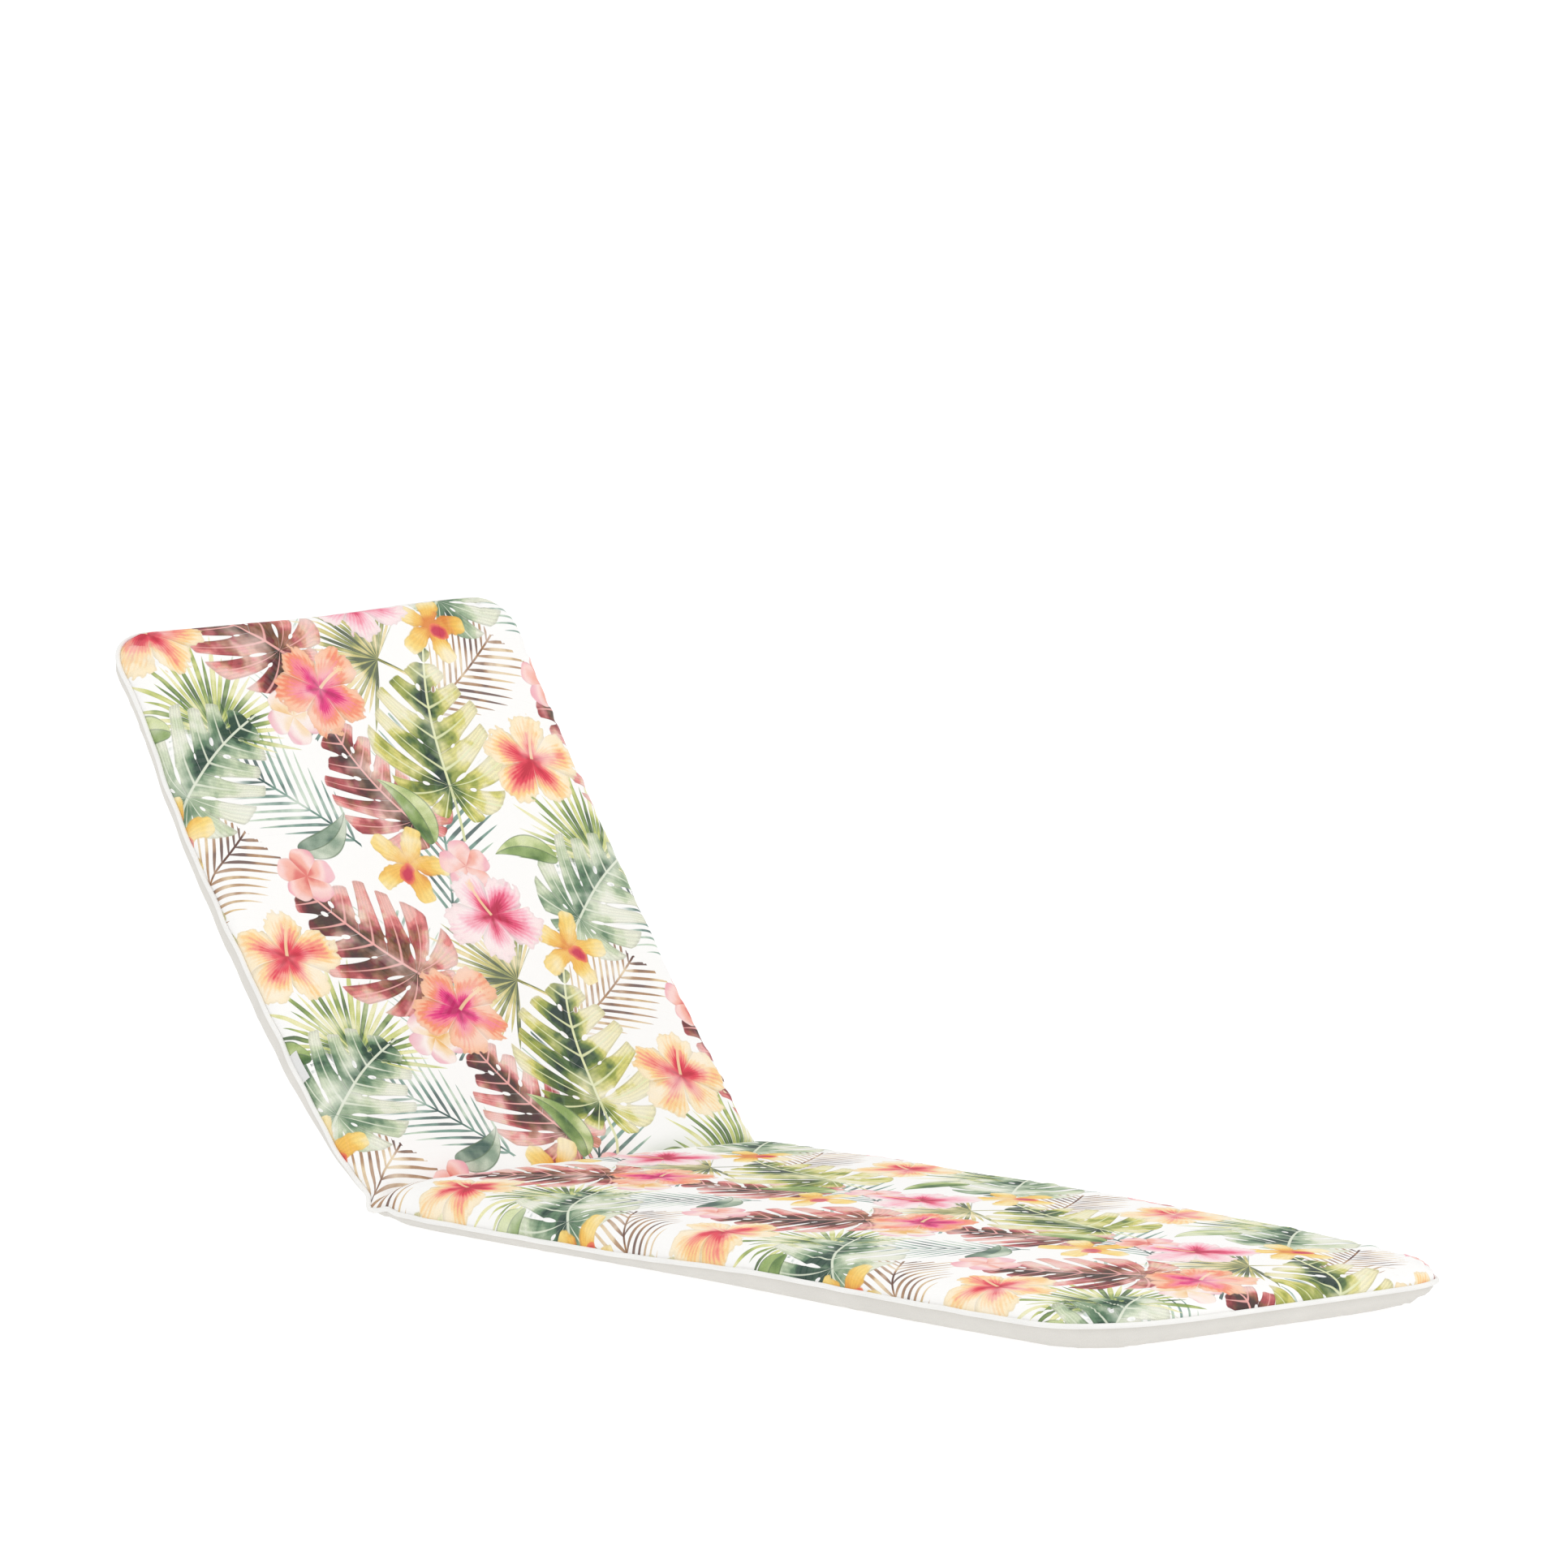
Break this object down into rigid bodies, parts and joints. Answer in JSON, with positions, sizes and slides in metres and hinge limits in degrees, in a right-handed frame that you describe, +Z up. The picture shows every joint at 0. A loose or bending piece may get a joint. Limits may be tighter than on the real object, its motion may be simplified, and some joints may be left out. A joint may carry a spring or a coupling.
{
  "type": "sun lounger cushion",
  "caption": "Long foam cushion in two sections for a sun lounger, bent at a sewn hinge, with a printed top, a plain under side and piped edges.",
  "frame": {"origin": "middle of the base of the whole cushion's box, on the surface that the seat lies on", "axes": "+X runs from the hinge to the foot end, +Y to the sitter's left, +Z up"},
  "size_m": [1.7098, 0.616, 0.6623],
  "materials": {
    "printed_cover": "matte",
    "under_cover": "matte",
    "piping": "matte",
    "label": "satin",
    "thread": "matte"
  },
  "bodies": {
    "root": {"cushion": "printed_cover", "piping": "piping", "side_label": "label"}
  },
  "joints": []
}
